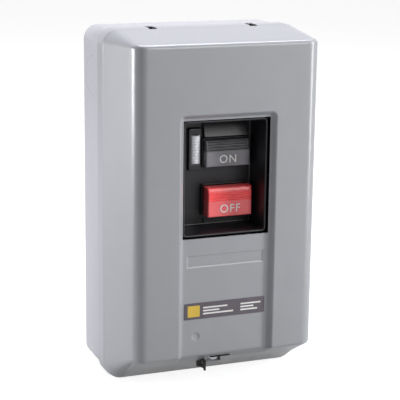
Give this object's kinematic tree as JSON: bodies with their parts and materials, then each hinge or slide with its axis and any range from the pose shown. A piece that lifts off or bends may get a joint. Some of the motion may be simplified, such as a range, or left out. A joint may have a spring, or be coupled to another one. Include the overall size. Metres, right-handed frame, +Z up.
{
  "type": "enclosed magnetic motor starter",
  "caption": "Wall-mounted magnetic motor starter: grey steel box and swing-up cover, with push buttons and a pilot light over a contactor and overload relay.",
  "frame": {"origin": "on the back face of the box, midway between the four wall holes", "axes": "+X to the right seen from the front, -Y out of the front of the cover, +Z up the wall"},
  "size_m": [0.1494, 0.102, 0.2534],
  "materials": {
    "black_moulding": "moulded black",
    "bobbin_nylon": "natural nylon",
    "box_paint": "satin grey enamel",
    "brass_plate": "brass",
    "brown_phenolic": "brown phenolic",
    "carrier_red": "red phenolic",
    "coil_tape": "varnished tape",
    "copper": "bright copper",
    "cover_paint": "satin grey enamel",
    "dark_steel": "black oxide steel",
    "ground_green": "green passivated",
    "label_film": "printed film",
    "lamination": "laminated steel",
    "lamp_glass": "neon lamp glass",
    "lens_white": "milky lens",
    "reset_blue": "moulded blue",
    "spring_wire": "spring wire",
    "start_cap": "moulded charcoal",
    "stop_cap": "moulded red",
    "zinc_plate": "zinc plated"
  },
  "bodies": {
    "enclosure": {"back_box": "box_paint", "knockout_discs": "box_paint", "closing_bracket": "zinc_plate", "mounting_plate": "zinc_plate", "plate_screws": "zinc_plate", "ground_screw": "ground_green", "operator_housing": "black_moulding", "operator_pillars": "zinc_plate", "operator_screws": "zinc_plate", "start_contact_block": "black_moulding", "start_fixed_contacts": "copper", "stop_contact_block": "black_moulding", "stop_fixed_contacts": "copper", "block_terminal_screws": "brass_plate", "start_spring": "spring_wire", "stop_spring": "spring_wire", "pilot_lens": "lens_white", "lamp_holder": "bobbin_nylon", "pilot_lamp": "lamp_glass", "contactor_base": "brown_phenolic", "magnet_core": "lamination", "core_rivets": "zinc_plate", "shading_rings": "copper", "coil_bobbin": "bobbin_nylon", "coil_winding": "coil_tape", "coil_terminals": "brass_plate", "kickout_springs": "spring_wire", "line_contacts": "copper", "load_contacts": "copper", "holding_contact": "copper", "contactor_screws": "brass_plate", "arc_cover": "black_moulding", "overload_base": "black_moulding", "heater_elements": "brass_plate", "heater_screws": "zinc_plate", "reset_spring": "spring_wire", "trip_terminals": "brass_plate", "load_terminals": "brass_plate", "load_screws": "zinc_plate"},
    "cover": {"cover": "cover_paint", "label_strip": "label_film", "seal_lug": "dark_steel"},
    "cover_screw": {"cover_screw": "zinc_plate", "screw_retainer": "zinc_plate"},
    "start": {"start_button": "start_cap", "start_contact_bar": "copper"},
    "stop": {"stop_button": "stop_cap", "reset_arm": "zinc_plate", "stop_contact_bar": "copper"},
    "reset": {"reset_pin": "reset_blue"},
    "armature": {"armature": "lamination", "armature_pin": "zinc_plate", "contact_carrier": "carrier_red", "moving_contacts": "copper", "contact_springs": "spring_wire"}
  },
  "joints": [
    {"name": "cover_swing", "type": "hinge", "parent": "enclosure", "child": "cover", "pos_m": [0, -0.0355, 0.12425], "axis": [-1, 0, 0], "range_deg": [0, 75]},
    {"name": "screw_turn", "type": "hinge", "parent": "cover", "child": "cover_screw", "pos_m": [0, -0.076, -0.10784], "axis": [0, 1, 0], "continuous": true},
    {"name": "start_push", "type": "slide", "parent": "enclosure", "child": "start", "axis": [0, 1, 0], "range_m": [0, 0.003], "stiffness_N_per_m": 600, "springref_m": -0.002, "deforming": ["start_spring"]},
    {"name": "stop_push", "type": "slide", "parent": "enclosure", "child": "stop", "axis": [0, 1, 0], "range_m": [0, 0.004], "stiffness_N_per_m": 600, "springref_m": -0.002, "deforming": ["stop_spring"]},
    {"name": "reset_push", "type": "slide", "parent": "enclosure", "child": "reset", "axis": [0, 1, 0], "range_m": [0, 0.004], "deforming": ["reset_spring"]},
    {"name": "armature_pull", "type": "slide", "parent": "enclosure", "child": "armature", "axis": [0, 1, 0], "range_m": [0, 0.0042], "stiffness_N_per_m": 900, "springref_m": -0.003, "deforming": ["kickout_springs"]}
  ],
  "couplings": [
    {"joint": "reset_push", "follows": "stop_push", "ratio": 1}
  ]
}
